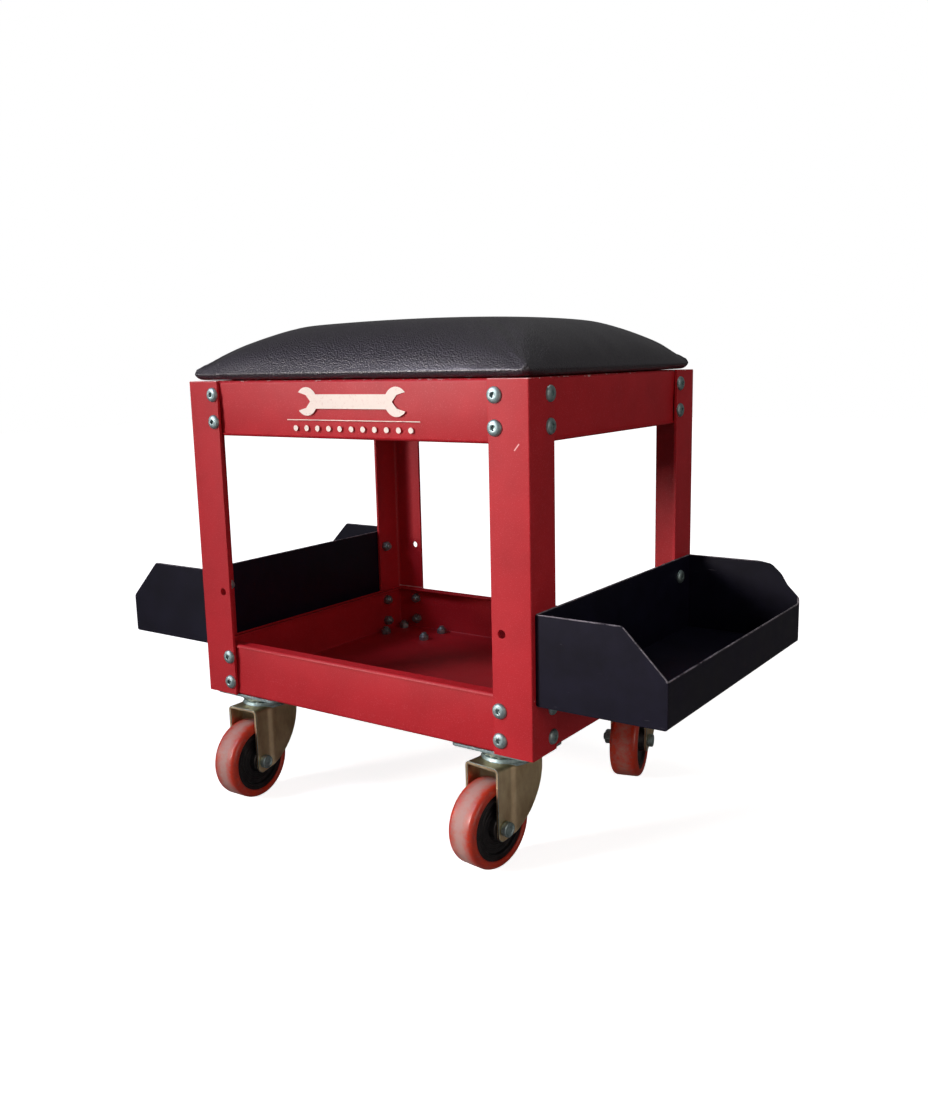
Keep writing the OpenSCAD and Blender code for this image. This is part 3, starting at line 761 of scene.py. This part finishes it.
# %% [markdown]
# ## Casters
# Each caster turns about its swivel axis and carries its wheel 25 mm ahead of it. Everything in a
# caster is drawn once, with the swivel axis on z, the axle along x and z = 0 under the shelf, and
# then moved with the place and the turn that the joints give.


# %% caster places
AXLE_DROP, AXLE_AHEAD = 65.5, 25


def caster_frame(corner):
    """Matrix in millimetres from the caster's own axes to those of the seat."""
    swivel = next(j for j in frame["joints"] if j["name"] == "swivel_" + corner)
    spin = next(j for j in frame["joints"] if j["name"] == "spin_" + corner)
    turn = np.arctan2(spin["axis"][1], spin["axis"][0])
    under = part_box("shelf_pan")[0].z / MM
    place = Matrix.Translation((swivel["pos_m"][0] / MM, swivel["pos_m"][1] / MM, under))
    return place @ Matrix.Rotation(turn, 4, "Z")


def on_axle(surface):
    """Stands a turned surface, made round z, on the axle, with its z along +x."""
    place = Matrix.Translation((0, -AXLE_AHEAD, -AXLE_DROP))
    return moved(surface, place @ Matrix.Rotation(np.pi / 2, 4, "Y"))


# %% [markdown]
# The plate is a pressed rectangle with rounded corners and a shallow cup that holds the upper ball
# race. The fork is one strip of 2.5 mm sheet bent to a U: its side walls have a straight strip in
# front that takes the axle, a shallow flare behind it, and a lower edge cut on an arc.


# %% plates and forks
def race_plate(wide=80, deep=56, thick=2.5, cup=7.8):
    """Plate as a stack of rounded rectangles, and the race cup as a turned ring below it."""
    a, b = wide / 2, deep / 2
    flat = [(0, 0, 0, -thick), (a, b, 6, -thick), (a, b, 6, 0), (0, 0, 0, 0)]
    ring = [(13, -thick), (13, -cup), (20.8, -cup), (22.3, -cup + 0.5), (23.0, -cup + 2)]
    ring += [(23.5, -thick - 1), (24.4, -thick + 0.1)]
    return join(rounded(flat, 7), lathe(ring, 48))


def fork(half_in=16, thick=2.5, top=12, front=33, rear=23, flare=1.5, fold=4.0):
    """U of sheet. A point has a place s along the U and y from front to rear.

    The wall stands half_in out, plus the flare past the strip. Its lower edge is on a circle of
    radius 59.5 round a point 36 ahead and 18 down, and the front lower corner is rounded."""
    front_round = -front + 7 * (1 - np.cos(np.linspace(0, np.pi / 2, 7)))
    spans = ((-25, -19, 4), (-18, -11, 9), (-8, 12, 9), (15, rear, 7))
    y = np.concatenate([front_round, *[np.linspace(*span) for span in spans]])
    step = np.clip((y + 18) / 7, 0, 1)
    out = flare * step * step * (3 - 2 * step)
    low = -18 - np.sqrt(59.5**2 - np.minimum((y + 36) ** 2, 59.5**2 - 36))
    low = np.maximum(low, -77)
    near = np.clip(7 - (y + front), 0, 7)
    low += 7 - np.sqrt(49 - near**2)
    shapes = []
    for offset, r in ((thick, fold), (0, fold - thick)):
        x = half_in + offset + out
        lid = -top if offset else -top - thick
        a = np.linspace(0, np.pi / 2, 6)[:, None]
        wall = np.linspace(0, 1, 8)[:, None]
        side_z = low + wall * (lid - r - low)
        side = np.stack([0 * side_z + x, 0 * side_z + y, side_z], -1)
        fold_x = x - r + r * np.cos(a)
        corner = np.stack([fold_x, 0 * fold_x + y, lid - r + r * np.sin(a) + 0 * fold_x], -1)[1:]
        half = np.concatenate([side, corner])
        shapes.append(np.concatenate([half * [-1, 1, 1], half[::-1]]))
    return sheet(*shapes)


lower_race = [(13, -14.3), (13, -8.8), (20.4, -8.6), (21.2, -9.1)]
lower_race += [(21.6, -11), (22.6, -12.2), (22.6, -14.3), (13, -14.3)]
for corner in CORNERS:
    place, body = caster_frame(corner), "caster_" + corner
    plate = moved(race_plate(), Matrix.Translation(place.to_translation()))
    shell, ring = moved(fork(), place), moved(lathe(lower_race, 48), place)
    node = "caster_plate_" + corner
    make("race_plate_" + corner, plate, zinc, "stool", "zinc_plated_steel", [node])
    node = "fork_" + corner
    name = "pressed_fork_" + corner
    make(name, shell, chromate, body, "chromated_steel", [node], edge=0.6, rim=zinc)
    make("lower_race_" + corner, ring, zinc, body, "zinc_plated_steel", edge=0)

# %% [markdown]
# The axle is a bolt with a plain round head outside one fork wall and a hexagon nut outside the
# other. The wheel is turned: a black hub with a raised boss, a dish with faint rings, and a
# polyurethane tread with rounded shoulders.


# %% axles and wheels
TREAD_WEAR = {"front_left": 0.9, "front_right": 1.0, "back_left": 0.6, "back_right": 0.4}
head = [(0, 23.2), (4.0, 23.2), (4.6, 23.8), (5.0, 24.0), (5.7, 24.0), (6.3, 23.5)]
head += [(6.5, 22.6), (6.5, 19.3), (5.6, 18.9), (5.6, 18.5), (0, 18.5)]


def axle_nut(flats=13, tall=6.5):
    """Hexagon nut with chamfered corners and the bolt's threaded end standing out of it."""
    six = hexagon(flats)
    corner = flats / 2 / np.cos(np.pi / 6)
    low, high = 18.5, 18.5 + tall
    rings = [(0, low), (corner - 0.9, low), (corner, low + 0.6)]
    rings += [(corner, high - 0.7), (corner - 0.9, high), (4, high)]
    rings += [(4 - 0.4 * (i % 2), high + 0.5 * i) for i in range(4)] + [(3.2, 27), (0, 27)]
    return lathe(rings, 24, lambda r, h, a: np.where(r > 4.5, np.minimum(r, six(a)), r))


hub_side = [(5.5, 15.7), (10.4, 15.7), (11, 15.2), (11.3, 13.6), (12.2, 10.4), (13, 10.2)]
for r in (15.5, 19.5):
    hub_side += [(r, 10.2), (r + 0.3, 10.5), (r + 0.8, 10.5), (r + 1.1, 10.2)]
hub_side += [(22.6, 10.2), (23.4, 10.5), (24.2, 13.0), (25.0, 13.2), (25.6, 13.2)]
hub_side += [(26, 12.6), (29.8, 12.4)]
shoulder = np.linspace(0.2, np.pi / 2, 9)
tyre_side = [(29.8, 12.4), (30.1, 13.4), (31.0, 14.0), (32.5, 14.0)]
tyre_side += [(32.5 + 5 * np.sin(t), 9 + 5 * np.cos(t)) for t in shoulder]
tyre_side += [(37.5, h) for h in (7, 5, 3, 1)]


def both_sides(profile):
    """A profile and its mirror image about the middle of the wheel, as one run."""
    return profile + [(r, -h) for r, h in reversed(profile)]


for corner in CORNERS:
    place, fork_body, wheel_body = caster_frame(corner), "caster_" + corner, "wheel_" + corner
    bolt = moved(on_axle(lathe(head, 32)), place)
    nut = moved(on_axle(moved(axle_nut(), Matrix.Rotation(np.pi, 4, "X"))), place)
    make("axle_head_" + corner, bolt, body=fork_body, replaces=["axle_bolt_" + corner], **PLATED)
    make("axle_hex_" + corner, nut, body=fork_body, replaces=["axle_nut_" + corner], **PLATED)
    hub = moved(on_axle(lathe(both_sides(hub_side) + [hub_side[0]], 64)), place)
    name, node = "moulded_hub_" + corner, "hub_" + corner
    make(name, hub, hub_black, wheel_body, "hub_polypropylene", [node], edge=0, smooth=28)
    ring = moved(on_axle(lathe(both_sides(tyre_side) + [tyre_side[0]], 96)), place)
    name, node = "poured_tyre_" + corner, "tyre_" + corner
    tyre = make(name, ring, urethane, wheel_body, "polyurethane", [node], edge=0, smooth=50)
    co = coordinates(tyre.data)
    own = np.c_[co / MM, np.ones(len(co))] @ np.array(place.inverted()).T
    radius = np.hypot(own[:, 1] + AXLE_AHEAD, own[:, 2] + AXLE_DROP)
    near_middle = np.clip(1.25 - np.abs(own[:, 0]) / 9, 0, 1) * np.clip((radius - 33) / 4.5, 0, 1)
    near_middle = (TREAD_WEAR[corner] * near_middle).astype(np.float32)
    tyre.data.attributes.new("tread", "FLOAT", "POINT").data.foreach_set("value", near_middle)

# %% [markdown]
# ## Seat cushion
# Foam on a plywood board, covered with vinyl that is pulled tight and stapled underneath. Stretched
# vinyl stands steep at the border, arches over to a broad flat crown, and leaves soft ridges
# towards the corners. The cover is one closed grid: a square net laid out in rounded
# rectangles on top, then rings round the edge and under the board. A short cloth simulation
# with air pressure lets it swell as foam does, and small pleats are pressed in afterwards.


# %% cushion before it swells
SEAT_A, SEAT_B, CORNER_R = 188.5, 152.0, 6.0
SEAT_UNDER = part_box("seat_cover")[0].z / MM
SEAT_LIP = SEAT_UNDER + 4.8


def crown(x, y):
    """Height of the top: the lip, plus an arch that starts steep and lies flat 52 mm in from the
    border, plus a dome.

    The way in from the border is the reciprocal sum of the ways in from both sides, so a soft
    ridge runs in from each corner. Away from the corners the foam bulges over the border, by a
    hump that peaks 6 mm in."""
    far, near = (np.maximum(h - np.abs(v), 1e-6) for v, h in ((x, SEAT_A), (y, SEAT_B)))
    way_in = (far**-2 + near**-2) ** -0.5
    arch = (1 - (1 - np.clip(way_in / 52, 0, 1)) ** 1.95) ** 0.88
    dome = (1 - (x / SEAT_A) ** 2) * (1 - (y / SEAT_B) ** 2)
    hump = way_in / 6 * np.exp(1 - way_in / 6)
    from_corner = 1 - np.exp(-((np.maximum(far, near) / 45) ** 2))
    return SEAT_LIP + 34.0 * arch + 3.2 * hump * from_corner + 8.4 * np.clip(dome, 0, 1)


def net(n, ease=1.445):
    """Square net (u, v) from -1 to 1: the sine of even steps, so the lines crowd at the border."""
    line = np.sin(np.linspace(-1, 1, n) * ease) / np.sin(ease)
    return np.meshgrid(line, line, indexing="ij")


def round_off(x, y, size, inset=0.0):
    """Draws points of a rectangle ring in to a ring with rounded corners.

    A point that lies past the corner's centre in both x and y goes to the corner's circle."""
    a, b = (SEAT_A - inset) * size, (SEAT_B - inset) * size
    r = np.maximum(CORNER_R * size**3, 0.01) + min(inset, 10) * 0.5
    cx, cy = np.abs(x) - (a - r), np.abs(y) - (b - r)
    corner = (cx > 0) & (cy > 0)
    reach = np.where(corner, np.hypot(cx, cy), 1)
    shrink = np.where(corner, np.maximum(cx, cy) / np.maximum(reach, 1e-6), 1)
    nx = np.where(corner, np.sign(x) * (a - r + cx * shrink), x)
    ny = np.where(corner, np.sign(y) * (b - r + cy * shrink), y)
    return nx, ny


def cushion(n=65):
    """Top net, then rings over the border, under the board and closed inside it."""
    u, v = net(n)
    size = np.maximum(np.abs(u), np.abs(v))
    x, y = round_off(u * SEAT_A, v * SEAT_B, size)
    top = grid(np.stack([x, y, np.where(size > 0.9999, SEAT_LIP, crown(x, y))], -1))
    uv = np.stack([u, v], -1)
    walk = np.concatenate([uv[:, 0], uv[-1, 1:], uv[-2::-1, -1], uv[0, -2:0:-1]])
    rolls = [(0, 4.8), (0.3, 3.6), (0.9, 2.2), (1.8, 0.6), (3.2, -0.9), (5, -1.6), (9, -1.8)]
    rolls += [(15, -1.0), (21, 0), (34, 0), (34, 2), (60, 2)]
    rings = []
    for inset, up in rolls:
        flat = walk * [SEAT_A - inset, SEAT_B - inset]
        rx, ry = round_off(*flat.T, np.ones(len(walk)), inset)
        rings.append(np.stack([rx, ry, 0 * rx + SEAT_UNDER + up], -1))
    rings.append(rings[-1] * [0, 0, 1])
    return join(top, grid(np.stack(rings), wrap=True))


under_it = ["seat_cover", "seat_foam"]
seat = make("padded_seat", cushion(), vinyl, "stool", "seat_vinyl", under_it, edge=0, smooth=80)


# %% swelling under pressure
def swell(piece, pressure, cap, frames=20):
    """Cloth with air pressure and no gravity; the edge and underside are held.

    Each point may move at most cap metres from where it started."""
    start = coordinates(piece.data)
    held = piece.vertex_groups.new(name="held")
    held.add(np.flatnonzero(start[:, 2] < (SEAT_LIP - 1) * MM).tolist(), 1.0, "REPLACE")
    cloth = piece.modifiers.new("swell", "CLOTH")
    cloth.settings.use_pressure = True
    cloth.settings.uniform_pressure_force = pressure
    cloth.settings.vertex_group_mass = "held"
    cloth.settings.mass = 0.3
    cloth.settings.tension_stiffness = cloth.settings.compression_stiffness = 15
    cloth.settings.bending_stiffness = 0.5
    cloth.settings.effector_weights.gravity = 0
    cloth.point_cache.frame_start, cloth.point_cache.frame_end = 1, frames
    for f in range(1, frames + 1):
        bpy.context.scene.frame_set(f)
    done = piece.evaluated_get(bpy.context.evaluated_depsgraph_get())
    end = coordinates(done.data)
    piece.modifiers.remove(cloth)
    piece.vertex_groups.clear()
    bpy.context.scene.frame_set(1)
    step = end - start
    reach = np.linalg.norm(step, axis=1, keepdims=True)
    step *= cap * np.tanh(reach / cap) / np.maximum(reach, 1e-9)
    piece.data.vertices.foreach_set("co", (start + step).ravel())
    piece.data.update()
    print(f"{piece.name} swelled by up to {reach.max() / MM:.1f} mm, kept to {cap / MM:.1f}")


swell(seat, pressure=4.0, cap=0.004)

# %% [markdown]
# The vinyl is gathered at each corner into two or three short pleats, and fine pull lines fan out
# from the staples on the sides. Both are waves across a direction that fade with distance, added
# straight to the height of the points.


# %% pleats and pull lines
def press_pleats(piece):
    """Adds soft folds: near a corner, grooves that run out from it; along the border, shallow
    waves that die out up the slope."""
    co = coordinates(piece.data) / MM
    x, y, z = co.T
    on_top = np.clip((z - SEAT_LIP + 3) / 4, 0, 1)
    change = np.zeros(len(x))
    for sx in (-1, 1):
        for sy in (-1, 1):
            dx, dy = sx * (SEAT_A - 4) - x, sy * (SEAT_B - 4) - y
            reach, turn = np.hypot(dx, dy), np.arctan2(sy * dy, sx * dx)
            groove = np.exp(-(((turn - 0.62) / 0.10) ** 2))
            groove += 0.7 * np.exp(-(((turn - 1.05) / 0.08) ** 2))
            change -= 2.2 * groove * np.exp(-(((reach - 14) / 16) ** 2))
    from_side = np.minimum(SEAT_A - np.abs(x), SEAT_B - np.abs(y))
    run = np.where(SEAT_A - np.abs(x) < SEAT_B - np.abs(y), y, x)
    pull = np.sin(run / 8.5 + 0.9 * np.sin(run / 21)) * np.exp(-(((from_side - 16) / 14) ** 2))
    change += 0.28 * pull
    co[:, 2] += change * on_top
    piece.data.vertices.foreach_set("co", (co * MM).ravel().astype(np.float32))
    piece.data.update()


press_pleats(seat)
soften = seat.modifiers.new("soften", "SUBSURF")
soften.levels = soften.render_levels = 1

# %% [markdown]
# ## Printed mark
# The front rail carries a cream printed mark. A plain spanner over a thin rule and a row of dots
# stands in for it, as a film a tenth of a millimetre proud of the paint.


# %% mark on the front rail
def film(outline, y):
    """Flat face in x and z at depth y."""
    points = np.insert(np.array(outline, float), 1, y, axis=1)
    return points, [list(range(len(points)))]


def spanner(cx, cz, long, y):
    """Open-ended spanner: a bar, and at each end a round head with a jaw cut out of it."""
    r, jaw, bar = 12.5, 5.6, 4.4
    eye = long / 2 - r
    ring = [(eye + r * np.cos(t), r * np.sin(t)) for t in np.radians(np.linspace(40, 320, 29))]
    mouth = [(eye + 0.7, -jaw), (eye - 4.4, 0), (eye + 0.7, jaw)]
    right = [(x, z) for x, z in ring if not (x < eye and abs(z) < bar)]
    upper = [p for p in right if p[1] > 0]
    lower = [p for p in right if p[1] <= 0]
    left = [(-x, z) for x, z in [*upper[::-1], *mouth[::-1], *lower[::-1]]]
    return film([(cx + x, cz + z) for x, z in [*upper, *left, *lower, *mouth]], y)


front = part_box("top_frame")[0].y / MM - 0.1
top_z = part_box("top_frame")[1].z / MM
MARK_X, MARK_LONG = 9.0, 150.0
marks = [spanner(MARK_X, top_z - 18.5, 126, front)]
rule = ((-1, 0), (1, 0), (1, 0.7), (-1, 0.7))
rule = [(MARK_X + s * MARK_LONG / 2, top_z - 35 + t) for s, t in rule]
marks.append(film(rule, front))
a = np.linspace(0, 2 * np.pi, 12, endpoint=False)
for i in range(11):
    dot = np.stack([MARK_X + 13 * (i - 5) + 2.6 * np.cos(a), top_z - 42 + 2.6 * np.sin(a)], 1)
    marks.append(film(dot, front))
make("printed_mark", join(*marks), ink, "stool", edge=0)

# %% [markdown]
# ## Finishes for the parts that stay
# Balls, rivets, screws, washers, staples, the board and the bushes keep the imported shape. Each
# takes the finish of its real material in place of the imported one.

# %% finishes on the kept parts
kept = {
    "kingpins": zinc,
    "seat_screws": zinc,
    "cover_staples": zinc,
    "seat_washers": rubber,
    "seat_board": plywood,
    "seat_foam": foam,
    "seat_cover": vinyl,
    "ball_ring_": zinc,
    "axle_sleeve_": zinc,
    "bush_": nylon,
}
for name, node in frame["nodes"].items():
    chosen = next((m for key, m in kept.items() if name.startswith(key)), None)
    if chosen:
        node.data.materials.clear()
        node.data.materials.append(chosen)
print("kept shapes:", sum(not n.hide_render for n in frame["nodes"].values()))

# %% [markdown]
# ## Floor
# The seat stands on pale paper. The camera sees it glow a little, more with distance, so that it
# runs into the white backdrop, while every other ray finds it grey.

# %% floor
FLOOR = 6.0
ground = bpy.data.meshes.new("ground")
square = [(-FLOOR, -FLOOR, 0), (FLOOR, -FLOOR, 0), (FLOOR, FLOOR, 0), (-FLOOR, FLOOR, 0)]
ground.from_pydata(square, [], [(0, 1, 2, 3)])
paper = bpy.data.objects.new("paper_floor", ground)
bpy.context.scene.collection.objects.link(paper)
paper.location.z = -0.0005
pale, shader, place = finish("pale_paper", Roughness=0.9, IOR=1.4)
fibre = noise(pale, place, 8, 3.0)
tone = mix(pale, fibre, "#F4F4F4", "#FAFAFA")
seen = add(pale, "LightPath").node.outputs["Is Camera Ray"]
link(pale, mix(pale, seen, "#8A8886", tone), shader, "Base Color")
shader.inputs["Emission Color"].default_value = lin("#FFFFFF")
far = add(pale, "VectorMath", {0: place}, operation="LENGTH").node.outputs["Value"]
glow = remap(pale, far, 0.5, 1.4, to=(0.86, 1.1))
link(pale, calc(pale, "MULTIPLY", seen, glow), shader, "Emission Strength")
ground.materials.append(pale)
